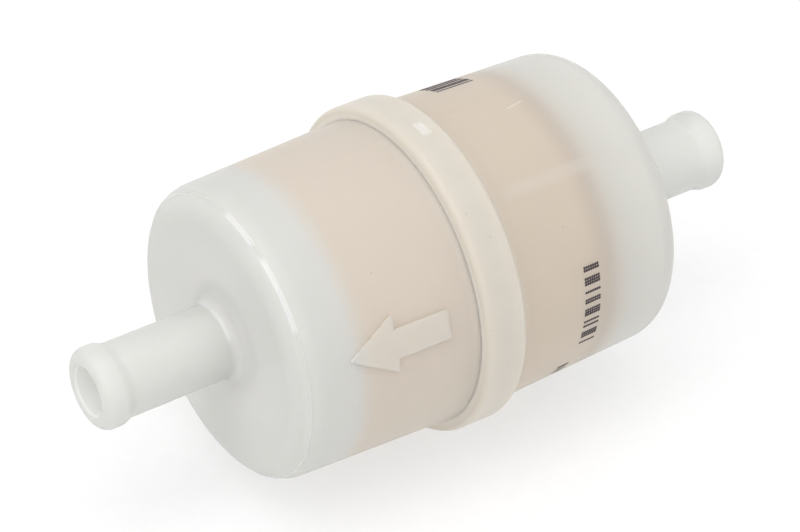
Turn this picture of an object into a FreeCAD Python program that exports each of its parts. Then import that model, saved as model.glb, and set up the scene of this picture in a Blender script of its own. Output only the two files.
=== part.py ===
import FreeCAD, Part
import math
import os
import re

import Sketcher

# In-line fuel filter. The flow axis is X: fuel enters at the nipple on +X, passes inwards through
# a pleated paper pack and leaves at the nipple on -X. The origin is on the axis, half-way between
# the two nipple tips, and +Z is up. All sizes are in millimetres.

doc = FreeCAD.newDocument("fuel_filter")

SIZES = {
    # Shells: lengths along the axis, radii about it
    "body_length": 47.3,
    "shell_wall": 1.5,
    "end_wall": 1.7,
    "end_rounding": 2.8,
    "outlet_mouth_radius": 16.6,
    "outlet_taper": 0.75,
    "inlet_taper": 0.7,
    "mouth_step": 0.2,
    # Low line that the mould's end insert leaves round the outlet shell's rounded end edge
    "witness_angle": 55.0,
    "witness_width": 0.32,
    "witness_height": 0.06,
    # Hose nipples, the same at both ends
    "nipple_length": 15.35,
    "shank_radius": 4.0,
    "bore_radius": 2.6,
    "bead_radius": 4.4,
    "bead_length": 3.2,
    "bead_ramp": 1.0,
    "bead_smoothing": 0.8,
    "nose_rounding": 1.2,
    "bore_chamfer": 0.3,
    "root_rounding": 0.9,
    # Joint between the shells, and the ring moulded over it
    "joint_plane": -0.3,
    "flange_height": 0.7,
    "flange_thickness": 0.9,
    "tongue_length": 2.0,
    "tongue_wall": 0.7,
    "tongue_gap": 0.05,
    "tongue_end_gap": 0.2,
    "ring_height": 1.35,
    "ring_width": 4.9,
    "ring_rounding": 0.7,
    # Raised flow arrow on the outlet shell
    "arrow_from_end": 5.7,
    "arrow_length": 11.6,
    "arrow_head_length": 5.4,
    "arrow_head_width": 6.2,
    "arrow_shaft_width": 3.1,
    "arrow_height": 0.35,
    "arrow_turn": 164.0,
    # Ribs inside the inlet shell that centre the element
    "rib_count": 3,
    "rib_width": 1.2,
    "rib_from_joint": 3.2,
    "rib_gap": 0.15,
    "rib_turn": 129.0,
    # Socket in the outlet shell, and the spigot and seal that fit it
    "socket_depth": 3.4,
    "socket_radius": 4.6,
    "socket_wall": 1.4,
    "spigot_bore_radius": 2.4,
    "spigot_gap": 0.1,
    "spigot_floor_gap": 0.4,
    "seal_section": 0.9,
    "seal_width": 1.2,
    "seal_side_gap": 0.1,
    "seal_rounding": 0.35,
    # Element
    "cap_thickness": 1.3,
    "cap_gap": 0.4,
    "bond_thickness": 1.25,
    "fin_length": 4.4,
    "fin_gap": 0.1,
    "fin_thickness": 1.2,
    "fin_reach": 9.0,
    "fin_start": 3.6,
    "fin_count": 4,
    "boss_length": 2.0,
    "paper_inset": 0.25,
    "paper_thickness": 0.22,
    "paper_tube_gap": 0.3,
    "pleat_count": 60,
    "fold_gap": 0.43,
    "seam_depth": 1.6,
    "seam_thickness": 0.2,
    "seam_gap": 0.02,
    # Perforated core
    "tube_radius": 5.2,
    "tube_wall": 0.9,
    "tube_gap": 0.1,
    "window_length": 1.9,
    "window_width": 1.5,
    "window_pitch": 3.0,
    "window_end_land": 2.5,
    "window_columns": 8,
}

# Places and sizes that follow from the ones above, so that what fits together stays together
FOLLOWING = {
    "half_body": "body_length / 2",
    "tip_plane": "half_body + nipple_length",
    "bead_foot": "tip_plane - bead_length",
    "bead_ramp_start": "bead_foot + bead_ramp",
    "inner_rounding": "end_rounding - shell_wall",
    "outlet_end_radius": "outlet_mouth_radius - outlet_taper",
    "inlet_mouth_radius": "outlet_mouth_radius + mouth_step",
    "inlet_end_radius": "inlet_mouth_radius - inlet_taper",
    "inside_plane": "half_body - end_wall",
    # Joint
    "flange_radius": "outlet_mouth_radius + flange_height",
    "ring_radius": "outlet_mouth_radius + ring_height",
    "ring_start": "joint_plane - ring_width / 2",
    "ring_end": "joint_plane + ring_width / 2",
    "flange_start": "joint_plane - flange_thickness",
    "flange_end": "joint_plane + flange_thickness",
    "tongue_tip": "joint_plane + tongue_length",
    "recess_end": "tongue_tip + tongue_end_gap",
    "outlet_bore_radius": "outlet_mouth_radius - shell_wall",
    "inlet_bore_radius": "inlet_mouth_radius - shell_wall",
    "tongue_radius": "outlet_bore_radius + tongue_wall",
    "recess_radius": "tongue_radius + tongue_gap",
    # How fast each shell's radius grows from its end plane to the edge of the ring
    "outlet_slope": "(outlet_mouth_radius - outlet_end_radius) / (ring_start + half_body)",
    "inlet_slope": "(inlet_mouth_radius - inlet_end_radius) / (half_body - ring_end)",
    # Centre of the outlet shell's end rounding, and the direction from it to the witness line
    "rounding_place": "-half_body + end_rounding",
    "rounding_radius": "outlet_end_radius + end_rounding * (outlet_slope - sqrt(1 + outlet_slope ^ 2))",
    "witness_along": "cos(witness_angle)",
    "witness_across": "sin(witness_angle)",
    # Arrow
    "arrow_tip": "-half_body + arrow_from_end",
    "arrow_shoulder": "arrow_tip + arrow_head_length",
    "arrow_tail": "arrow_tip + arrow_length",
    "arrow_tip_radius": "outlet_end_radius + outlet_slope * arrow_from_end + arrow_height",
    "arrow_tail_radius": "arrow_tip_radius + outlet_slope * arrow_length",
    # Element, from the seat in the outlet shell to the fins that meet the inlet shell
    "cap_radius": "outlet_end_radius - shell_wall - cap_gap",
    "outlet_cap_outer": "-inside_plane + socket_depth",
    "outlet_cap_inner": "outlet_cap_outer + cap_thickness",
    "paper_start": "outlet_cap_inner + bond_thickness",
    "inlet_cap_outer": "inside_plane - fin_length",
    "inlet_cap_inner": "inlet_cap_outer - cap_thickness",
    "paper_end": "inlet_cap_inner - bond_thickness",
    "paper_radius": "cap_radius - paper_inset",
    "paper_core_radius": "tube_radius + paper_tube_gap",
    "fold_width": "2 * pi * paper_radius / pleat_count - fold_gap",
    "bond_hole_radius": "tube_radius + tube_gap",
    "tube_bore_radius": "tube_radius - tube_wall",
    "boss_radius": "tube_bore_radius - tube_gap",
    # Ribs of the inlet shell
    "rib_radius": "cap_radius + rib_gap",
    "rib_start": "joint_plane + rib_from_joint",
    # Socket, spigot and seal
    "socket_outer": "socket_radius + socket_wall",
    "spigot_radius": "socket_radius - spigot_gap",
    "spigot_tip": "-inside_plane + spigot_floor_gap",
    "groove_radius": "socket_radius - seal_section",
    "seal_middle": "(spigot_tip + outlet_cap_outer) / 2",
    "groove_half": "seal_width / 2 + seal_side_gap",
}


def fill_sheet(name, cells):
    """A new spreadsheet whose cells have aliases, one row each."""
    sheet = doc.addObject("Spreadsheet::Sheet", name)
    for row, (alias, content) in enumerate(cells.items(), start=1):
        sheet.set(f"A{row}", alias)
        sheet.set(f"B{row}", str(content))
        sheet.setAlias(f"B{row}", alias)
    doc.recompute()
    return sheet


def bound(text, own_sheet=None):
    """An expression in plain size names, with each name led by the sheet that holds it."""
    words = re.split(r"(\w+)", text)
    for place, word in enumerate(words):
        if word in SIZES:
            words[place] = f"sizes.{word}"
        elif word in FOLLOWING and own_sheet != "places":
            words[place] = f"places.{word}"
    return "".join(words)


sizes = fill_sheet("sizes", SIZES)
places = fill_sheet("places", {name: "=" + bound(rule, "places") for name, rule in FOLLOWING.items()})


def size(rule):
    """The present value of an expression in plain size names, as a plain number."""
    return float(sizes.evalExpression(bound(rule)))


def origin_feature(body, role):
    """One of the planes or axes of a body's own origin."""
    return next(feature for feature in body.Origin.OriginFeatures if feature.Role == role)


def new_body(name):
    """An empty body. Its label is the name of its piece."""
    body = doc.addObject("PartDesign::Body", name)
    body.Label = name
    body.Placement = FreeCAD.Placement()
    return body


def new_sketch(body, name, role, turn=None):
    """A sketch on one of the body's origin planes, which can be turned about the X axis."""
    sketch = body.newObject("Sketcher::SketchObject", name)
    sketch.AttachmentSupport = [(origin_feature(body, role), "")]
    sketch.MapMode = "FlatFace"
    if turn:
        sketch.AttachmentOffset = FreeCAD.Placement(
            FreeCAD.Vector(0, 0, 0), FreeCAD.Rotation(FreeCAD.Vector(1, 0, 0), 1)
        )
        sketch.setExpression("AttachmentOffset.Rotation.Angle", bound(turn))
    return sketch


def add_outline(sketch, corners):
    """Draws a closed outline of straight lines. Both coordinates of each corner are bound sizes.

    The lines start out on a small circle, and the constraints then take them to their places.
    """
    count = len(corners)
    first = sketch.GeometryCount
    spots = [
        FreeCAD.Vector(math.cos(math.tau * i / count), math.sin(math.tau * i / count), 0)
        for i in range(count)
    ]
    sketch.addGeometry([Part.LineSegment(spots[i], spots[(i + 1) % count]) for i in range(count)])
    sketch.addConstraint(
        [
            Sketcher.Constraint("Coincident", first + i, 2, first + (i + 1) % count, 1)
            for i in range(count)
        ]
    )
    for number, (across, up) in enumerate(corners, start=first):
        for kind, rule in (("DistanceX", across), ("DistanceY", up)):
            index = sketch.addConstraint(Sketcher.Constraint(kind, -1, 1, number, 1, 1.0))
            sketch.setExpression(f"Constraints[{index}]", bound(rule))
    doc.recompute()
    return sketch


def revolve(body, name, corners, kind="Revolution"):
    """Turns an outline of (place along the axis, radius) once round the X axis.

    The kind Revolution adds material, and Groove takes it away.
    """
    sketch = add_outline(new_sketch(body, name + "_outline", "XZ_Plane"), corners)
    feature = body.newObject("PartDesign::" + kind, name)
    feature.Profile = sketch
    feature.ReferenceAxis = (sketch, ["H_Axis"])
    feature.Angle = 360
    doc.recompute()
    return feature


def round_circles(body, name, circles, radius):
    """Rounds the circular edges of the body's tip that lie at the given (place, radius) pairs."""
    base = body.Tip
    wanted = [(size(place), size(reach)) for place, reach in circles]
    edges = []
    for number, edge in enumerate(base.Shape.Edges, start=1):
        if edge.Curve.TypeId != "Part::GeomCircle":
            continue
        found = (edge.Curve.Center.x, edge.Curve.Radius)
        if any(math.dist(found, spot) < 1e-4 for spot in wanted):
            edges.append(f"Edge{number}")
    if len(edges) != len(circles):
        raise ValueError(f"{name}: {len(edges)} edges found for {len(circles)} circles")
    feature = body.newObject("PartDesign::Fillet", name)
    feature.Base = (base, edges)
    feature.setExpression("Radius", bound(radius))
    doc.recompute()
    return feature


def pad(body, name, sketch, length, midplane=False):
    """Raises a sketch into a prism, to one side of its plane or half to each."""
    feature = body.newObject("PartDesign::Pad", name)
    feature.Profile = sketch
    feature.Midplane = midplane
    feature.setExpression("Length", bound(length))
    doc.recompute()
    return feature


def repeat_round(body, name, original, count):
    """Repeats a feature evenly round the X axis."""
    feature = body.newObject("PartDesign::PolarPattern", name)
    feature.Originals = [original]
    feature.Axis = (origin_feature(body, "X_Axis"), [""])
    feature.Angle = 360
    feature.setExpression("Occurrences", bound(count))
    body.Tip = feature
    doc.recompute()
    return feature


def on_side(side, rule):
    """A place along the axis, measured outwards from the middle on the side "-" or "+"."""
    return f"{side}({rule})"


def nipple_outline(side, end_radius):
    """Corners from the nipple's tip to the end plane of its shell, all out to the given radius."""
    return [
        (on_side(side, "tip_plane"), "0"),
        (on_side(side, "tip_plane"), "bead_radius"),
        (on_side(side, "bead_ramp_start"), "bead_radius"),
        (on_side(side, "bead_foot"), "shank_radius"),
        (on_side(side, "half_body"), "shank_radius"),
        (on_side(side, "half_body"), end_radius),
    ]


def bore_outline(side):
    """Corners of the chamfered bore, from the nipple's tip to the inner face of the end wall."""
    return [
        (on_side(side, "tip_plane"), "0"),
        (on_side(side, "tip_plane"), "bore_radius + bore_chamfer"),
        (on_side(side, "tip_plane - bore_chamfer"), "bore_radius"),
        (on_side(side, "inside_plane"), "bore_radius"),
    ]


def round_shell(body, side, end_radius):
    """The moulded roundings of a shell's outside: end edge, nipple root, nose and bead."""
    half_body = on_side(side, "half_body")
    round_circles(body, "end_edge", [(half_body, end_radius)], "end_rounding")
    round_circles(body, "nipple_root", [(half_body, "shank_radius")], "root_rounding")
    round_circles(body, "nose", [(on_side(side, "tip_plane"), "bead_radius")], "nose_rounding")
    bead_edges = [
        (on_side(side, "bead_ramp_start"), "bead_radius"),
        (on_side(side, "bead_foot"), "shank_radius"),
    ]
    round_circles(body, "bead", bead_edges, "bead_smoothing")


def make_outlet_shell():
    """Cup with the outlet nipple, the flow arrow, the tongue of the joint and the spigot's socket."""
    body = new_body("outlet_shell")
    outside = nipple_outline("-", "outlet_end_radius") + [
        ("ring_start", "outlet_mouth_radius"),
        ("flange_start", "outlet_mouth_radius"),
        ("flange_start", "flange_radius"),
        ("joint_plane", "flange_radius"),
        ("joint_plane", "tongue_radius"),
        ("tongue_tip", "tongue_radius"),
        ("tongue_tip", "0"),
    ]
    revolve(body, "outside", outside)
    round_shell(body, "-", "outlet_end_radius")
    raise_witness_line(body)
    raise_arrow(body)
    inside = bore_outline("-") + [
        ("-inside_plane", "socket_radius"),
        ("outlet_cap_outer", "socket_radius"),
        ("outlet_cap_outer", "socket_outer"),
        ("-inside_plane", "socket_outer"),
        ("-inside_plane", "outlet_end_radius - shell_wall"),
        ("ring_start", "outlet_bore_radius"),
        ("tongue_tip", "outlet_bore_radius"),
        ("tongue_tip", "0"),
    ]
    revolve(body, "inside", inside, "Groove")
    corner = [("-inside_plane", "outlet_end_radius - shell_wall")]
    round_circles(body, "inside_corner", corner, "inner_rounding")
    return body


def raise_witness_line(body):
    """Raises a low rounded-off line round the end edge, at an angle round the edge's own rounding."""
    corners = []
    for rise, aside in (
        ("-witness_height", "-witness_width / 2"),
        ("witness_height", "-witness_width / 8"),
        ("witness_height", "witness_width / 8"),
        ("-witness_height", "witness_width / 2"),
    ):
        reach = f"(end_rounding + {rise})"
        place = f"rounding_place - {reach} * witness_along + ({aside}) * witness_across"
        radius = f"rounding_radius + {reach} * witness_across + ({aside}) * witness_along"
        corners.append((place, radius))
    revolve(body, "witness_line", corners)


def raise_arrow(body):
    """Raises the arrow through the wall, then trims its top to stand evenly above the cone."""
    sketch = new_sketch(body, "arrow_outline", "XY_Plane", "arrow_turn - 90")
    half_shape = [
        ("arrow_shoulder", "arrow_head_width / 2"),
        ("arrow_shoulder", "arrow_shaft_width / 2"),
        ("arrow_tail", "arrow_shaft_width / 2"),
    ]
    other_half = [(place, f"-({width})") for place, width in reversed(half_shape)]
    add_outline(sketch, [("arrow_tip", "0")] + half_shape + other_half)
    pad(body, "arrow", sketch, "flange_radius + 1")
    above = [
        ("arrow_tip - 1", "arrow_tip_radius - outlet_slope"),
        ("arrow_tail + 1", "arrow_tail_radius + outlet_slope"),
        ("arrow_tail + 1", "flange_radius + 2"),
        ("arrow_tip - 1", "flange_radius + 2"),
    ]
    revolve(body, "arrow_top", above, "Groove")


def make_inlet_shell():
    """Cup with the inlet nipple, the recess for the tongue and the ribs that centre the element."""
    body = new_body("inlet_shell")
    outside = nipple_outline("+", "inlet_end_radius") + [
        ("ring_end", "inlet_mouth_radius"),
        ("flange_end", "inlet_mouth_radius"),
        ("flange_end", "flange_radius"),
        ("joint_plane", "flange_radius"),
        ("joint_plane", "0"),
    ]
    revolve(body, "outside", outside)
    round_shell(body, "+", "inlet_end_radius")
    inside = bore_outline("+") + [
        ("inside_plane", "inlet_end_radius - shell_wall"),
        ("ring_end", "inlet_bore_radius"),
        ("recess_end", "inlet_bore_radius"),
        ("recess_end", "recess_radius"),
        ("joint_plane", "recess_radius"),
        ("joint_plane", "0"),
    ]
    revolve(body, "inside", inside, "Groove")
    corner = [("inside_plane", "inlet_end_radius - shell_wall")]
    round_circles(body, "inside_corner", corner, "inner_rounding")
    rib_outline = [
        ("rib_start", "rib_radius"),
        ("inside_plane + end_wall / 2", "rib_radius"),
        ("inside_plane + end_wall / 2", "inlet_end_radius - shell_wall / 2"),
        ("rib_start", "inlet_end_radius + inlet_slope * (half_body - rib_start) - shell_wall / 2"),
    ]
    sketch = new_sketch(body, "rib_outline", "XZ_Plane", "rib_turn - 90")
    rib = pad(body, "rib", add_outline(sketch, rib_outline), "rib_width", midplane=True)
    repeat_round(body, "ribs", rib, "rib_count")
    return body


def make_joint_ring():
    """Band moulded over both flanges, which holds the two shells together and seals them."""
    body = new_body("joint_ring")
    outline = [
        ("ring_start", "outlet_mouth_radius"),
        ("ring_start", "ring_radius"),
        ("ring_end", "ring_radius"),
        ("ring_end", "inlet_mouth_radius"),
        ("flange_end", "inlet_mouth_radius"),
        ("flange_end", "flange_radius"),
        ("flange_start", "flange_radius"),
        ("flange_start", "outlet_mouth_radius"),
    ]
    revolve(body, "band", outline)
    edges = [("ring_start", "ring_radius"), ("ring_end", "ring_radius")]
    round_circles(body, "band_edges", edges, "ring_rounding")
    return body


def make_outlet_end_cap():
    """Open disc under the pleats, with the grooved spigot outside and a boss for the core inside."""
    body = new_body("outlet_end_cap")
    outline = [
        ("spigot_tip", "spigot_bore_radius"),
        ("spigot_tip", "spigot_radius"),
        ("seal_middle - groove_half", "spigot_radius"),
        ("seal_middle - groove_half", "groove_radius"),
        ("seal_middle + groove_half", "groove_radius"),
        ("seal_middle + groove_half", "spigot_radius"),
        ("outlet_cap_outer", "spigot_radius"),
        ("outlet_cap_outer", "cap_radius"),
        ("outlet_cap_inner", "cap_radius"),
        ("outlet_cap_inner", "boss_radius"),
        ("outlet_cap_inner + boss_length", "boss_radius"),
        ("outlet_cap_inner + boss_length", "spigot_bore_radius"),
    ]
    revolve(body, "disc", outline)
    return body


def make_inlet_end_cap():
    """Closed disc over the pleats, with a boss for the core and fins that reach the inlet shell."""
    body = new_body("inlet_end_cap")
    outline = [
        ("inlet_cap_outer", "0"),
        ("inlet_cap_outer", "cap_radius"),
        ("inlet_cap_inner", "cap_radius"),
        ("inlet_cap_inner", "boss_radius"),
        ("inlet_cap_inner - boss_length", "boss_radius"),
        ("inlet_cap_inner - boss_length", "0"),
    ]
    revolve(body, "disc", outline)
    fin_outline = [
        ("inlet_cap_outer - cap_thickness / 2", "fin_start"),
        ("inside_plane - fin_gap", "fin_start"),
        ("inside_plane - fin_gap", "fin_reach"),
        ("inlet_cap_outer - cap_thickness / 2", "fin_reach"),
    ]
    sketch = add_outline(new_sketch(body, "fin_outline", "XZ_Plane"), fin_outline)
    fin = pad(body, "fin", sketch, "fin_thickness", midplane=True)
    repeat_round(body, "fins", fin, "fin_count")
    return body


def make_washer(name, start, end, inner_radius, outer_radius):
    """A plain turned ring between two places on the axis."""
    body = new_body(name)
    outline = [(start, inner_radius), (start, outer_radius), (end, outer_radius), (end, inner_radius)]
    revolve(body, "ring", outline)
    return body


def make_outlet_seal():
    """Seal ring, squeezed between the floor of the spigot's groove and the socket's wall."""
    start = "seal_middle - seal_width / 2"
    end = "seal_middle + seal_width / 2"
    body = make_washer("outlet_seal", start, end, "groove_radius", "socket_radius")
    edges = [(place, radius) for place in (start, end) for radius in ("groove_radius", "socket_radius")]
    round_circles(body, "soft_edges", edges, "seal_rounding")
    return body


def make_centre_tube():
    """Core of the element: a tube between the two discs, with rows of windows through its wall."""
    start, end = "outlet_cap_inner", "inlet_cap_inner"
    body = make_washer("centre_tube", start, end, "tube_bore_radius", "tube_radius")
    room = size(f"{end} - ({start}) - 2 * window_end_land - window_length")
    windows = 1 + int(room // size("window_pitch"))
    sketch = new_sketch(body, "window_outlines", "XY_Plane")
    for number in range(windows):
        middle = f"({start} + {end}) / 2 + {number - (windows - 1) / 2} * window_pitch"
        add_outline(
            sketch,
            [
                (f"{middle} - window_length / 2", "-window_width / 2"),
                (f"{middle} + window_length / 2", "-window_width / 2"),
                (f"{middle} + window_length / 2", "window_width / 2"),
                (f"{middle} - window_length / 2", "window_width / 2"),
            ],
        )
    row = body.newObject("PartDesign::Pocket", "window_row")
    row.Profile = sketch
    row.Reversed = True
    row.setExpression("Length", bound("tube_radius + 1"))
    doc.recompute()
    repeat_round(body, "windows", row, "window_columns")
    return body


def pleat_outline(tip_radius, tip_half_width, valley_radius, valley_half_width):
    """Closed wire of one surface of the pleats, with flat folds at the tips and in the valleys.

    A corner lies at its fold's radius along the fold's own direction, and half a fold's width to
    one side of it. Tips and valleys alternate, half a pitch apart.
    """
    count = int(size("pleat_count"))
    corners = []
    for fold in range(2 * count):
        radius = valley_radius if fold % 2 else tip_radius
        half_width = valley_half_width if fold % 2 else tip_half_width
        turn = math.pi * fold / count
        for aside in (-half_width, half_width):
            across = radius * math.cos(turn) - aside * math.sin(turn)
            up = radius * math.sin(turn) + aside * math.cos(turn)
            corners.append(FreeCAD.Vector(size("paper_start"), across, up))
    return Part.makePolygon(corners + corners[:1])


def make_pleated_paper():
    """Filter paper folded into a star: the wall between an outer and an inner pleated surface.

    At the core the spaces inside and outside the pleats are equally wide.
    """
    paper = size("paper_thickness")
    core = size("paper_core_radius")
    tip = size("paper_radius")
    half_fold = size("fold_width") / 2
    pitch_at_core = math.tau * (core + paper) / size("pleat_count")
    half_space = (pitch_at_core - 2 * paper) / 4
    outer = pleat_outline(tip, half_fold, core + paper, half_space)
    inner = pleat_outline(tip - paper, half_fold - paper, core, half_space + paper)
    length = size("paper_end") - size("paper_start")
    piece = doc.addObject("Part::Feature", "pleated_paper")
    piece.Label = "pleated_paper"
    section = Part.Face(outer).cut(Part.Face(inner))
    piece.Shape = section.Faces[0].extrude(FreeCAD.Vector(length, 0, 0))
    piece.Placement = FreeCAD.Placement()
    return piece


def make_seam_clip():
    """Channel along one pleat, which joins the two ends of the folded paper."""
    body = new_body("seam_clip")
    sketch = new_sketch(body, "channel_outline", "YZ_Plane")
    sketch.setExpression("AttachmentOffset.Base.z", bound("paper_start"))
    inner_half = "(fold_width / 2 + seam_gap)"
    outer_half = "(fold_width / 2 + seam_gap + seam_thickness)"
    half_shape = [
        ("paper_radius + seam_gap + seam_thickness", outer_half),
        ("paper_radius - seam_depth", outer_half),
        ("paper_radius - seam_depth", inner_half),
        ("paper_radius + seam_gap", inner_half),
    ]
    other_half = [(place, f"-{width}") for place, width in reversed(half_shape)]
    add_outline(sketch, half_shape + other_half)
    pad(body, "channel", sketch, "paper_end - paper_start")
    return body


pieces = [
    make_outlet_shell(),
    make_inlet_shell(),
    make_joint_ring(),
    make_pleated_paper(),
    make_seam_clip(),
    make_centre_tube(),
    make_inlet_end_cap(),
    make_outlet_end_cap(),
    make_washer("inlet_bond", "paper_end", "inlet_cap_inner", "bond_hole_radius", "cap_radius"),
    make_washer("outlet_bond", "outlet_cap_inner", "paper_start", "bond_hole_radius", "cap_radius"),
    make_outlet_seal(),
]
doc.recompute()

for item in doc.Objects:
    if "Invalid" in item.State or "Error" in item.State:
        raise RuntimeError(f"{item.Label} did not compute: {item.State}")

for piece in pieces:
    if piece.Shape.isNull() or not piece.Shape.isValid():
        raise RuntimeError(f"{piece.Label} has no valid shape")
    if len(piece.Shape.Solids) != 1:
        raise RuntimeError(f"{piece.Label} has {len(piece.Shape.Solids)} solids")

os.makedirs("parts", exist_ok=True)
for piece in pieces:
    piece.Shape.exportStep(f"parts/{piece.Label}.step")
    box = piece.Shape.BoundBox
    print(f"{piece.Label}: {piece.Shape.Volume:.1f} mm3, x {box.XMin:.2f} to {box.XMax:.2f}")
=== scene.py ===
# %% [markdown]
# # An in-line fuel filter
#
# Two milky nylon cups, joined by a ring that is moulded over their rims, hold a beige pleated
# element. The CAD model already gives every piece its true shape and place. This lesson gives each
# piece its finish, prints batch marks on the housing, and sets up a pale studio.
#
# Everything is in metres, in the CAD model's own frame: X is the flow axis, with the inlet on +X,
# and +Z is up. A turn is an angle about X in degrees, from +Y towards +Z.

# %% Load the model
import math
from functools import reduce

import bpy
import numpy as np
from mathutils import Matrix, Vector


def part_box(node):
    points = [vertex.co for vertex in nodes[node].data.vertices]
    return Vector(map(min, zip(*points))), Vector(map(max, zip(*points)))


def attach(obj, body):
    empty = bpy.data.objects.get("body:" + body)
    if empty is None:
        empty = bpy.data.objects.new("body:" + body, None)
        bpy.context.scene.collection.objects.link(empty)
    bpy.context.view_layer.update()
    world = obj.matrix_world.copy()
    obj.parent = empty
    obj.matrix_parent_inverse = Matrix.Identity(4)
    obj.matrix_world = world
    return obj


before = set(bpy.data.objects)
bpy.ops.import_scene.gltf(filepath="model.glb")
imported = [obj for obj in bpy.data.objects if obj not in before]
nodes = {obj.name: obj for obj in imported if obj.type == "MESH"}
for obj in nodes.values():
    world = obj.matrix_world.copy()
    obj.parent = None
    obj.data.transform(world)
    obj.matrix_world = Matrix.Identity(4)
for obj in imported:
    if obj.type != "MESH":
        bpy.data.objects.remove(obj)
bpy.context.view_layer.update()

print("pieces:", ", ".join(sorted(nodes)))

# %% [markdown]
# ## Landmarks
#
# Finishes on this filter change along the flow axis: the element shows through the middle of the
# housing, and the ends stay clear. So the places where pieces start and stop are read from their
# boxes. Only a few sizes of the cups, which no box shows, are written out here.

# %% Landmarks
MM = 0.001


def span(node):
    """Lowest and highest X of a CAD node, and its largest radius about the X axis."""
    low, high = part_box(node)
    return low.x, high.x, high.y


outlet_tip = span("outlet_shell")[0]
inlet_tip = span("inlet_shell")[1]
ring_start, ring_end, ring_radius = span("joint_ring")
ring_middle = (ring_start + ring_end) / 2
ring_half = (ring_end - ring_start) / 2
paper_start, paper_end, paper_radius = span("pleated_paper")

NIPPLE_LENGTH = 15.35 * MM
BORE_RADIUS = 2.6 * MM
OUTLET_END_RADIUS = 15.85 * MM
OUTLET_MOUTH_RADIUS = 16.6 * MM
INLET_END_RADIUS = 16.1 * MM
INLET_MOUTH_RADIUS = 16.8 * MM
outlet_face = outlet_tip + NIPPLE_LENGTH
inlet_face = inlet_tip - NIPPLE_LENGTH
print(f"housing from {outlet_face:.5f} to {inlet_face:.5f}, paper from {paper_start:.5f} to {paper_end:.5f}")


def outlet_cone(x):
    """Radius of the outlet cup's outside: a straight taper from its end face to the ring's edge."""
    share = (x - outlet_face) / (ring_start - outlet_face)
    return OUTLET_END_RADIUS + (OUTLET_MOUTH_RADIUS - OUTLET_END_RADIUS) * share


def inlet_cone(x):
    """Radius of the inlet cup's outside: a straight taper from its end face to the ring's edge."""
    share = (x - inlet_face) / (ring_end - inlet_face)
    return INLET_END_RADIUS + (INLET_MOUTH_RADIUS - INLET_END_RADIUS) * share


# %% [markdown]
# ## Shader maths as plain expressions
#
# A mask such as "near this place along the axis" is arithmetic on the point's coordinates. Wiring
# Math nodes by hand hides that arithmetic, so a small class wraps one output socket and adds a node
# for each operator. Everything else, from noise to the shader itself, comes from one method.


# %% Class Value: one socket with arithmetic
class Value:
    """One output socket of a finish. Arithmetic on it adds Math nodes."""

    def __init__(self, finish, socket):
        self.finish = finish
        self.socket = socket

    def math(self, operation, *others):
        """The Math node of this operation, fed with this value and then the others."""
        inputs = dict(enumerate((self,) + others))
        return self.finish.node("Math", {"operation": operation}, inputs)

    def other(self, name):
        """Another output of the same node."""
        return Value(self.finish, self.socket.node.outputs[name])

    def __add__(self, b):
        return self.math("ADD", b)

    def __sub__(self, b):
        return self.math("SUBTRACT", b)

    def __mul__(self, b):
        return self.math("MULTIPLY", b)

    def __truediv__(self, b):
        return self.math("DIVIDE", b)

    def __rsub__(self, a):
        return self * -1 + a

    __radd__ = __add__
    __rmul__ = __mul__

    def __abs__(self):
        return self.math("ABSOLUTE")

    def step(self, low, high):
        """Rises smoothly from 0 at low to 1 at high. It falls instead when low is above high."""
        settings = {"interpolation_type": "SMOOTHSTEP"}
        return self.finish.node("MapRange", settings, {"Value": self, "From Min": low, "From Max": high})

    def between(self, start, stop, soft):
        """1 from start to stop, and 0 outside, with edges as wide as soft."""
        half = soft / 2
        return self.step(start - half, start + half) * self.step(stop + half, stop - half)

    def either(self, b):
        """The larger of two masks."""
        return self.math("MAXIMUM", b)


# %% Class Finish: one material
class Finish:
    """A material, its nodes, and the coordinates that its patterns read."""

    def __init__(self, name):
        self.material = bpy.data.materials.new(name)
        self.material.use_nodes = True
        self.tree = self.material.node_tree
        self.tree.nodes.clear()
        self.place = self.node("TexCoord", output="Object")
        self.x = self.node("SeparateXYZ", inputs={0: self.place})
        self.y = self.x.other("Y")
        self.z = self.x.other("Z")
        self.radius = (self.y * self.y + self.z * self.z).math("SQRT")

    def node(self, kind, settings=None, inputs=None, output=0):
        """A shader node: its settings are set first, then its sockets are given values or links."""
        new = self.tree.nodes.new("ShaderNode" + kind)
        for name, value in (settings or {}).items():
            setattr(new, name, value)
        for name, value in (inputs or {}).items():
            if isinstance(value, Value):
                self.tree.links.new(value.socket, new.inputs[name])
            else:
                new.inputs[name].default_value = value
        return Value(self, new.outputs[output])

    def noise(self, size, detail, stretch=(1, 1, 1)):
        """Cloudy noise whose features are about this size. Stretch squeezes it along an axis."""
        place = self.node("VectorMath", {"operation": "MULTIPLY"}, {0: self.place, 1: stretch})
        return self.node("TexNoise", inputs={"Vector": place, "Scale": 1 / size, "Detail": detail})

    def mix(self, mask, first, second):
        """The first colour where the mask is 0, and the second where it is 1."""
        return self.node("Mix", {"data_type": "RGBA"}, {0: mask, 6: first, 7: second}, output=2)

    def bump(self, height, depth, strength, **more):
        """A normal bent by a height from 0 to 1 that stands for this depth."""
        return self.node("Bump", inputs={"Strength": strength, "Distance": depth, "Height": height, **more})

    def towards(self, turn):
        """Distance from the axis towards this turn, and distance aside from it, both as values."""
        ahead, aside = math.cos(math.radians(turn)), math.sin(math.radians(turn))
        return self.y * ahead + self.z * aside, self.z * ahead - self.y * aside

    def shade(self, **sockets):
        """Ends the finish with one Principled shader. Underscores in names stand for spaces."""
        inputs = {name.replace("_", " "): value for name, value in sockets.items()}
        shader = self.node("BsdfPrincipled", inputs=inputs)
        output = self.tree.nodes.new("ShaderNodeOutputMaterial")
        self.tree.links.new(shader.socket, output.inputs["Surface"])
        return self.material


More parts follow.
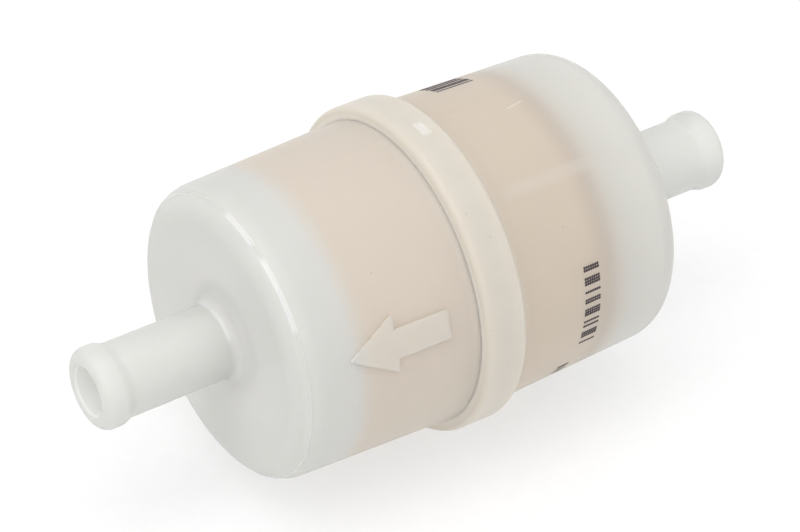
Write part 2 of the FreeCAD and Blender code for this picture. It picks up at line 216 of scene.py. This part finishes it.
# %% Helpers for finishes
def arc(f, turn, half, soft):
    """A mask of the side that faces this turn, 1 as far aside as half, with edges as wide as soft."""
    ahead, aside = f.towards(turn)
    return abs(aside).step(half + soft / 2, half - soft / 2) * ahead.step(0, 2 * MM)


def spots(f, middles, size):
    """A mask of round spots, 1 inside size and soft at the edge, around the given middles."""
    settings = {"operation": "DISTANCE"}
    away = [f.node("VectorMath", settings, {0: f.place, 1: middle}, output="Value") for middle in middles]
    return reduce(Value.either, [distance.step(size * 1.3, size * 0.7) for distance in away])


def colour(red, green, blue):
    """An opaque colour, from linear red, green and blue."""
    return (red, green, blue, 1.0)


def wear(material, *names):
    """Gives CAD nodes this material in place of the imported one."""
    for name in names:
        slots = nodes[name].data.materials
        slots.clear()
        slots.append(material)
    print(f"{material.name}: {', '.join(names)}")


# %% [markdown]
# ## Natural nylon
#
# The cups are moulded from nylon with no pigment. A wall of 1.5 mm lets light through, but scatters
# it, so the element is seen as a soft beige cloud and the ends look like frosted glass. A shader that
# is part rough transmission and part white diffuse does the same: the rough part blurs what lies
# behind, and the diffuse part adds the milk.
#
# Away from the element the plastic is nearly white. Some places get painted light, to make up for what the
# shader leaves out: the end walls are painted whiter over the shade of the dark socket behind them, and
# the bores are painted pure white, for the light that would reach them through the nipple. The inlet's
# end is warmer.


# %% Nylon: the clear ends
def clear_plastic(f, clouds):
    """Colour of the housing where no paper lies behind it."""
    from_middle = abs(f.x)
    shade = f.mix(clouds, colour(0.79, 0.79, 0.76), colour(0.84, 0.84, 0.81))
    warm = f.x.step(14 * MM, 18 * MM)
    shade = f.mix(warm * 0.5, shade, colour(0.84, 0.82, 0.76))
    # Painted light: the end walls are whiter, over the shade of the dark socket behind them.
    painted_light_end_wall = f.radius.step(14 * MM, 5 * MM) * from_middle.step(19 * MM, 23 * MM)
    shade = f.mix(painted_light_end_wall, shade, colour(0.875, 0.87, 0.845))
    nipple = from_middle.step(inlet_face + 0.05 * MM, inlet_face + 1.05 * MM)
    shade = f.mix(nipple, shade, colour(0.81, 0.81, 0.785))
    # Painted light: the bores are pure white, for the light that comes in through the nipple's wall.
    painted_light_bore = f.radius.step(BORE_RADIUS + 0.25 * MM, BORE_RADIUS + 0.02 * MM)
    return f.mix(painted_light_bore, shade, colour(1.0, 1.0, 0.98))


# %% [markdown]
# The element lies so close to the wall that light goes to and fro between the two and tints the wall.
# A warm tint in the base colour, between the ends of the paper, stands for that. It fades out over a
# few millimetres, because the wall blurs the paper's ends. At the inlet's end it is darker first, in a
# band at the paper's end. The likely cause is adhesive that soaked into the pleats, or the end cap's
# shade, but that is a guess.


# %% Nylon: the element's tint
def near_element(f):
    """A mask of the part of the housing that lies over the paper, with its blurred ends."""
    fade_in = f.x.step(paper_start - 2.0 * MM, paper_start + 1.2 * MM)
    return fade_in * f.x.step(paper_end + 2.4 * MM, paper_end - 2.0 * MM)


def element_tint(f, clouds):
    """Warm colour of the housing over the paper, deeper on the inlet's half."""
    outlet_tint = f.mix(clouds, colour(0.80, 0.72, 0.625), colour(0.83, 0.755, 0.665))
    inlet_tint = f.mix(clouds, colour(0.785, 0.685, 0.575), colour(0.81, 0.72, 0.61))
    tint = f.mix(f.x.step(-4 * MM, 4 * MM), outlet_tint, inlet_tint)
    dark_band = f.x.between(paper_end - 2.4 * MM, paper_end + 0.4 * MM, 3.4 * MM)
    return f.mix(dark_band * 0.65, tint, colour(0.64, 0.57, 0.505))


# %% [markdown]
# Thicker plastic is milkier, so the raised arrow and the ribs inside the inlet cup show as paler
# shapes over the tint. The arrow's mask is simply how far a point stands out from the cup's cone. The
# wall beside the ring gets painted light: it is painted paler only because the crease there would come
# out too dark. A few specks and one short scratch make it a moulding that has been handled.

# %% Nylon: what shows over the tint
RIB_TURNS = (129.0, 249.0, 9.0)
ARROW_SPAN = (-17.0 * MM, -5.9 * MM)
SCRATCH_TURN = 96.5
SCRATCH_ASIDE = 2.07 * MM
SCRATCH_SLANT = 0.18
SCRATCH_SPAN = (10.6 * MM, 12.7 * MM)
SHELL_SPECKS = (
    Vector((-12.91, -11.90, 11.05)) * MM,
    Vector((-23.65, 3.48, 3.02)) * MM,
    Vector((9.20, -13.90, 9.00)) * MM,
)


def scratched(f):
    """A mask of one thin scratch, nearly along the axis."""
    ahead, aside = f.towards(SCRATCH_TURN)
    off_line = abs(aside + f.x * SCRATCH_SLANT - SCRATCH_ASIDE)
    line = off_line.step(0.12 * MM, 0.05 * MM) * ahead.step(0, 5 * MM)
    return line * f.x.between(*SCRATCH_SPAN, 0.4 * MM)


def housing_colour(f, clouds):
    """Colour of the housing: clear ends, a tinted middle, what shows over them, and painted light and shade.
    """
    shade = f.mix(near_element(f), clear_plastic(f, clouds), element_tint(f, clouds))
    ribs = reduce(Value.either, [arc(f, turn, 0.7 * MM, 0.9 * MM) for turn in RIB_TURNS])
    ribs = ribs * f.x.between(4.0 * MM, 16.0 * MM, 4.0 * MM)
    shade = f.mix(ribs * 0.45, shade, colour(0.85, 0.80, 0.72))
    raised = (f.radius - outlet_cone(f.x)).step(0.02 * MM, 0.34 * MM)
    arrow = raised * f.x.between(*ARROW_SPAN, 2.2 * MM)
    shade = f.mix(arrow * 0.55, shade, colour(0.85, 0.815, 0.75))
    # Painted light: the wall beside the ring is paler, to lift the shade in the crease.
    painted_light_beside_ring = abs(f.x - ring_middle).between(ring_half - 1.0 * MM, ring_half + 0.7 * MM, 1.0 * MM)
    shade = f.mix(painted_light_beside_ring * 0.5, shade, colour(0.93, 0.87, 0.79))
    shade = f.mix(spots(f, SHELL_SPECKS, 0.12 * MM) * 0.22, shade, colour(0.25, 0.22, 0.20))
    shade = f.mix(scratched(f) * 0.7, shade, colour(0.97, 0.95, 0.90))
    # Painted shade: the wall just past the paper's inlet end is greyer, for the shade of the end cap.
    painted_cap_shade = f.x.between(paper_end, paper_end + 3.2 * MM, 4.5 * MM)
    return f.mix(painted_cap_shade * 0.22, shade, colour(0.68, 0.66, 0.61))


# %% [markdown]
# Most of the skin is matt. Only two thin lines at the outlet's end catch the light: the witness line
# that the mould's end insert left on the rounded edge, along two arcs, and a stretch of the hollow at
# the nipple's root. They get a full clear coat, but the lamps don't make them bright enough. So the
# arcs and the stretch also carry a painted highlight: they are painted white, at fixed places on the
# surface, and they stay white from every side.

# %% Nylon: glossy lines, painted highlights and the whole finish
LINE_RADIUS = 15.44 * MM
# Turns and half widths of the painted highlight on the witness line.
PAINTED_HIGHLIGHT_ARCS = ((101.0, 2.4 * MM), (132.0, 3.9 * MM))
ROOT_LINE = -24.35 * MM
ROOT_ARC = (101.0, 2.9 * MM)


def witness_line(f):
    """A mask of the witness line, all the way round the outlet's end edge."""
    return abs(f.radius - LINE_RADIUS).step(0.30 * MM, 0.12 * MM) * f.x.step(-22.2 * MM, -22.4 * MM)


def root_line(f):
    """A mask of the stretch at the root of the outlet's nipple, with its clear coat and painted highlight.
    """
    hollow = abs(f.x - ROOT_LINE).step(0.28 * MM, 0.10 * MM)
    return hollow * f.radius.between(3.5 * MM, 5.0 * MM, 0.3 * MM) * arc(f, *ROOT_ARC, 0.8 * MM)


def natural_nylon():
    """Milky, translucent housing plastic."""
    f = Finish("natural_nylon")
    clouds = f.noise(7 * MM, 4)
    line, root = witness_line(f), root_line(f)
    arcs = reduce(Value.either, [arc(f, turn, half, 1.2 * MM) for turn, half in PAINTED_HIGHLIGHT_ARCS])
    # Painted highlight: the arcs of the witness line and the root's stretch are painted white.
    painted_highlight = (line * arcs).either(root * 0.8)
    waves = f.bump(f.noise(5 * MM, 1), 0.05 * MM, 0.5)
    return f.shade(
        Base_Color=f.mix(painted_highlight, housing_colour(f, clouds), colour(1.0, 1.0, 0.985)),
        Roughness=clouds * 0.10 + 0.50,
        Subsurface_Weight=0.55,
        Subsurface_Radius=(1.0, 0.95, 0.85),
        Subsurface_Scale=1.5 * MM,
        Transmission_Weight=0.38,
        IOR=1.4,
        Coat_Weight=line.either(root) * 0.85 + 0.15,
        Coat_Roughness=0.08,
        Coat_IOR=1.45,
        Normal=f.bump(f.noise(0.35 * MM, 2), 0.01 * MM, 0.25, Normal=waves),
    )


wear(natural_nylon(), "outlet_shell", "inlet_shell")

# %% [markdown]
# ## The moulded ring
#
# The ring is of the same nylon, but thick, so almost no light comes through and it looks like cream.
# Subsurface scattering softens its shading, but leaves the crease at its foot too dark and its edges
# too bright, so the base colour has painted light and shade: it is painted paler at the foot and
# painted deeper on the edges. A rough light scar on top is read as the place where the gate broke
# off, and there are a few dark specks.

# %% Ring nylon
GATE = Vector((0.1, -1.9, 17.85)) * MM
RING_SPECKS = (
    Vector((-1.39, -11.78, 13.54)) * MM,
    Vector((0.09, -13.89, 11.37)) * MM,
    Vector((-2.30, -17.69, 3.03)) * MM,
)


def gate_scar(f):
    """A mask of the scar on top of the ring."""
    along = abs(f.x - GATE.x).step(0.75 * MM, 0.35 * MM)
    across = abs(f.y - GATE.y).step(1.3 * MM, 0.7 * MM)
    return along * across * f.z.step(16 * MM, 17 * MM)


def ring_nylon():
    """Thick creamy nylon with its gate scar, specks, and painted light and shade at the foot and edges."""
    f = Finish("ring_nylon")
    clouds = f.noise(3 * MM, 4)
    cream = f.mix(clouds, colour(0.595, 0.545, 0.475), colour(0.64, 0.59, 0.52))
    # Painted shade: the rounded edges are deeper, to tone down their light.
    edge = abs(f.x - ring_middle).step(1.7 * MM, 2.1 * MM)
    cream = f.mix(edge * 0.8, cream, colour(0.575, 0.53, 0.46))
    # Painted light: the foot is paler, to lift the shade in the crease.
    painted_light_foot = f.radius.step(17.5 * MM, 16.9 * MM)
    cream = f.mix(painted_light_foot * 0.6, cream, colour(0.90, 0.84, 0.75))
    scar = gate_scar(f)
    crumbs = scar * f.noise(0.25 * MM, 3)
    cream = f.mix(crumbs, cream, colour(0.84, 0.81, 0.75))
    cream = f.mix(spots(f, RING_SPECKS, 0.10 * MM) * 0.25, cream, colour(0.20, 0.16, 0.13))
    height = crumbs + f.noise(0.4 * MM, 2) * 0.06
    return f.shade(
        Base_Color=cream,
        Roughness=scar * 0.25 + clouds * 0.08 + 0.38,
        Subsurface_Weight=0.6,
        Subsurface_Radius=(1.0, 0.9, 0.75),
        Subsurface_Scale=2.5 * MM,
        IOR=1.5,
        Normal=f.bump(height, 0.12 * MM, 0.8),
    )


wear(ring_nylon(), "joint_ring")

# %% [markdown]
# ## Inside pieces
#
# The element is seen only through the frosted wall, but its finishes are real ones: someone may cut
# the housing open. Filter paper is a felt of fibres, so it gets fine noise stretched along the axis,
# the way that the paper ran through its machine, and a fuzzy bump. The core and the end discs are
# moulded plastic, the bonds are poured adhesive with slow waves, and the seal is black rubber.


# %% Filter paper
def filter_paper():
    """Resin-treated filter paper, fibrous and warm beige, paler along the outer folds."""
    f = Finish("filter_paper")
    fibres = f.noise(0.25 * MM, 5, (0.25, 1, 1))
    patches = f.noise(4 * MM, 3)
    beige = f.mix(fibres, colour(0.76, 0.60, 0.44), colour(0.90, 0.75, 0.58))
    beige = f.mix(patches * 0.35, beige, colour(0.82, 0.64, 0.47))
    fold = f.radius.step(paper_radius - 0.35 * MM, paper_radius)
    beige = f.mix(fold * 0.4, beige, colour(0.93, 0.80, 0.65))
    return f.shade(
        Base_Color=beige,
        Roughness=fibres * 0.08 + 0.88,
        Sheen_Weight=0.2,
        Normal=f.bump(fibres, 0.04 * MM, 0.7),
    )


wear(filter_paper(), "pleated_paper")


# %% Core, bond and seal
def core_plastic():
    """Natural moulded nylon with faint flow streaks."""
    f = Finish("core_plastic")
    streaks = f.noise(1.2 * MM, 3, (0.3, 1, 1))
    pale = f.mix(streaks, colour(0.80, 0.79, 0.74), colour(0.88, 0.87, 0.83))
    return f.shade(Base_Color=pale, Roughness=streaks * 0.12 + 0.42, Normal=f.bump(streaks, 0.02 * MM, 0.5))


def bond():
    """Poured adhesive, pale and gently uneven."""
    f = Finish("bond")
    flow = f.noise(2.5 * MM, 2)
    pits = f.noise(0.5 * MM, 3)
    pale = f.mix(flow, colour(0.80, 0.74, 0.62), colour(0.88, 0.84, 0.74))
    height = flow * 0.8 + pits * 0.2
    return f.shade(Base_Color=pale, Roughness=pits * 0.2 + 0.35, Normal=f.bump(height, 0.08 * MM, 0.6))


def seal_rubber():
    """Black rubber with a fine dull grain."""
    f = Finish("seal_rubber")
    grain = f.noise(0.2 * MM, 3)
    black = f.mix(grain, colour(0.012, 0.012, 0.013), colour(0.035, 0.034, 0.034))
    return f.shade(Base_Color=black, Roughness=grain * 0.2 + 0.55, Normal=f.bump(grain, 0.02 * MM, 0.6))


wear(core_plastic(), "centre_tube", "inlet_end_cap", "outlet_end_cap", "seam_clip")
wear(bond(), "inlet_bond", "outlet_bond")
wear(seal_rubber(), "outlet_seal")

# %% [markdown]
# ## Batch marks
#
# An inkjet printer marks the inlet cup in rows of tiny dots. Here they are a plain pattern of dots,
# with no letters or figures. Each dot is a very low dome that follows the cup's cone, worked out for
# all dots at once: every dot has the same small polar grid, bent round the cone at its own middle.

# %% Dot domes on the inlet cup
DOT_STEPS = 12
DOT_RADIUS = 0.17 * MM
DOT_HEIGHT = 0.014 * MM
DOT_REACHES = (1.0, 0.7)
DOT_RISES = (-0.5, 0.8)


def dot_points(middles):
    """Points of low domes at (x, turn) middles on the inlet cup, one row of points for each dome.

    A dome has a rim, a shoulder and a top. A ring's point is at the middle, plus ring radius times
    the cosine along X, plus ring radius times the sine as an angle round the axis. Its radius about
    the axis is the cone's there plus the ring's own height.
    """
    phase = np.arange(DOT_STEPS) * math.tau / DOT_STEPS
    spin = np.append(np.tile(phase, len(DOT_REACHES)), 0.0)
    reach = np.append(np.repeat(DOT_REACHES, DOT_STEPS), 0.0) * DOT_RADIUS
    rise = np.append(np.repeat(DOT_RISES, DOT_STEPS), 1.0) * DOT_HEIGHT
    x = middles[:, :1] + reach * np.cos(spin)
    cone = inlet_cone(x)
    turn = np.radians(middles[:, 1:]) + reach * np.sin(spin) / cone
    out = cone + rise
    return np.stack([x, out * np.cos(turn), out * np.sin(turn)], axis=-1)


def dot_faces(count):
    """Faces of that many domes: skirts of quads, caps of triangles and closed bottoms."""
    here = np.arange(DOT_STEPS)
    after = (here + 1) % DOT_STEPS
    top = np.full(DOT_STEPS, 2 * DOT_STEPS)
    start = np.arange(count)[:, None, None] * (2 * DOT_STEPS + 1)
    skirt = np.stack([after, here, here + DOT_STEPS, after + DOT_STEPS], axis=-1) + start
    cap = np.stack([after + DOT_STEPS, here + DOT_STEPS, top], axis=-1) + start
    bottom = here + start[:, 0]
    return skirt.reshape(-1, 4).tolist() + cap.reshape(-1, 3).tolist() + bottom.tolist()


def dot_mark(name, middles, material):
    """One piece of domes at (x, turn) middles."""
    mesh = bpy.data.meshes.new(name)
    mesh.from_pydata(dot_points(middles).reshape(-1, 3), [], dot_faces(len(middles)))
    mesh.validate()
    mesh.shade_smooth()
    piece = bpy.data.objects.new(name, mesh)
    bpy.context.scene.collection.objects.link(piece)
    mesh.materials.append(material)
    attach(piece, "root")
    print(f"{name}: {len(middles)} dots, {len(mesh.polygons)} faces")


# %% [markdown]
# A mark is a row of plain bars of uneven widths and gaps. A bar is a close row of dots along the axis,
# so all the dots of a mark are one grid: places along the axis times turns round it. The ink is a
# purple black, and uneven, because it dries on a surface that it can't soak into.


# %% Marking ink
def marking_ink():
    """Purple-black ink of uneven thickness."""
    f = Finish("marking_ink")
    patches = f.noise(0.3 * MM, 3)
    ink = f.mix(patches, colour(0.030, 0.020, 0.024), colour(0.085, 0.062, 0.070))
    return f.shade(Base_Color=ink, Roughness=patches * 0.3 + 0.45, Normal=f.bump(patches, 0.01 * MM, 0.5))


# %% Rows of bars
DOT_PITCH = 1.6 * DOT_RADIUS
FRONT_STEPS = (0, 1, 4, 5, 6, 9, 12, 13, 16, 17, 18, 21, 23, 26, 27, 28, 31)
TOP_STEPS = (0, 1, 2, 4, 5, 7, 8, 9, 11)
UNDER_STEPS = (0, 1, 3, 5)


def bars(x_start, x_stop, turn_start, turn_stop, steps):
    """Middles of the dots, as bars along X. The steps say which of the evenly spaced turns have one."""
    x = np.linspace(x_start, x_stop, 1 + round((x_stop - x_start) / DOT_PITCH))
    turn = turn_start + (turn_stop - turn_start) * np.asarray(steps) / max(steps)
    grid = np.meshgrid(x, turn, indexing="ij")
    return np.stack(grid, axis=-1).reshape(-1, 2)


ink = marking_ink()
MARKS = {
    "ink_mark_front": bars(10.6 * MM, 12.3 * MM, 164.5, 198.5, FRONT_STEPS),
    "ink_mark_top": bars(7.2 * MM, 11.5 * MM, 58.5, 70.5, TOP_STEPS),
    "ink_mark_under": bars(9.2 * MM, 10.4 * MM, 212.5, 218.5, UNDER_STEPS),
}
for mark, middles in MARKS.items():
    dot_mark(mark, middles, ink)

# %% [markdown]
# ## The studio
#
# A pale floor, a bright even surround and three soft lamps. The object is nearly white, so the light
# stays soft and wide: it is the slow change of light round each cylinder that shows its form. More
# than half of the floor's white is its own glow, so the filter's shadow on it stays faint, and it is
# hardly brighter than white, so that it throws no more light than it must on the undersides.


# %% Floor
def floor_finish():
    """Matt white board with a faint tooth."""
    f = Finish("studio_floor")
    tooth = f.noise(2 * MM, 3)
    white = f.mix(tooth, colour(0.35, 0.35, 0.35), colour(0.39, 0.39, 0.39))
    return f.shade(
        Base_Color=white,
        Roughness=0.95,
        Emission_Color=colour(1, 1, 1),
        Emission_Strength=0.575,
        Normal=f.bump(tooth, 0.02 * MM, 0.1),
    )


FLOOR_HALF = 2.0
FLOOR_GAP = 0.01 * MM
side = np.linspace(-FLOOR_HALF, FLOOR_HALF, 3)
floor_x, floor_y = np.meshgrid(side, side, indexing="ij")
floor_height = -ring_radius - FLOOR_GAP
corners = np.stack([floor_x, floor_y, np.full_like(floor_x, floor_height)], axis=-1).reshape(-1, 3)
cells = np.array([(i, i + 3, i + 4, i + 1) for i in (0, 1, 3, 4)])
floor_mesh = bpy.data.meshes.new("floor")
floor_mesh.from_pydata(corners, [], cells.tolist())
floor_mesh.materials.append(floor_finish())
floor = bpy.data.objects.new("floor", floor_mesh)
bpy.context.scene.collection.objects.link(floor)
print(f"floor at {floor_height:.5f}")

# %% [markdown]
# The strip lamp hangs beyond the outlet, where the bright lines at that end catch it. The top lamp
# lifts everything that faces up, and the small front lamp fills the side towards the camera.

# %% Light
SURROUND_STRENGTH = 0.85

world = bpy.data.worlds.new("surround")
bpy.context.scene.world = world
world.use_nodes = True
background = world.node_tree.nodes["Background"]
background.inputs["Color"].default_value = colour(1, 1, 1)
background.inputs["Strength"].default_value = SURROUND_STRENGTH


def area_light(name, place, sides, power):
    """A rectangular lamp that faces the filter, with its two sides in metres and power in watts."""
    lamp = bpy.data.lights.new(name, "AREA")
    lamp.shape = "RECTANGLE"
    lamp.size, lamp.size_y = sides
    lamp.energy = power
    light = bpy.data.objects.new(name, lamp)
    bpy.context.scene.collection.objects.link(light)
    light.location = place
    light.rotation_euler = (-Vector(place)).to_track_quat("-Z", "Y").to_euler()
    print(f"lamp {name}: {power} W")


area_light("strip", (-0.38, -0.02, 0.47), (0.22, 0.95), 0.95)
area_light("top", (-0.05, -0.12, 0.62), (0.5, 0.5), 1.1)
area_light("front", (-0.22, -0.50, 0.24), (0.12, 0.3), 0.25)
bpy.context.scene.view_settings.view_transform = "Standard"

# %% [markdown]
# ## The camera
#
# A long lens from above the outlet's side. The camera's own axes are worked out from the direction
# back to the lens and the direction of its right edge, which stays level.

# %% Camera
BACK = Vector((-0.459, -0.670, 0.584)).normalized()
RIGHT = Vector((0.825, -0.565, 0.0)).normalized()
UP = BACK.cross(RIGHT).normalized()
DISTANCE = 0.3547
AIM = Vector((-0.0008, 0, 0)) - RIGHT * 0.000407 - UP * 0.000063
FOCAL_LENGTH = 152.8
SENSOR_WIDTH = 36
NEAREST = 0.01

lens = bpy.data.cameras.new("camera")
lens.lens = FOCAL_LENGTH
lens.sensor_width = SENSOR_WIDTH
lens.clip_start = NEAREST
camera = bpy.data.objects.new("camera", lens)
bpy.context.scene.collection.objects.link(camera)
pose = Matrix((RIGHT, UP, BACK)).transposed().to_4x4()
pose.translation = AIM + BACK * DISTANCE
camera.matrix_world = pose
bpy.context.scene.camera = camera
print("camera at", tuple(round(v, 4) for v in pose.translation))
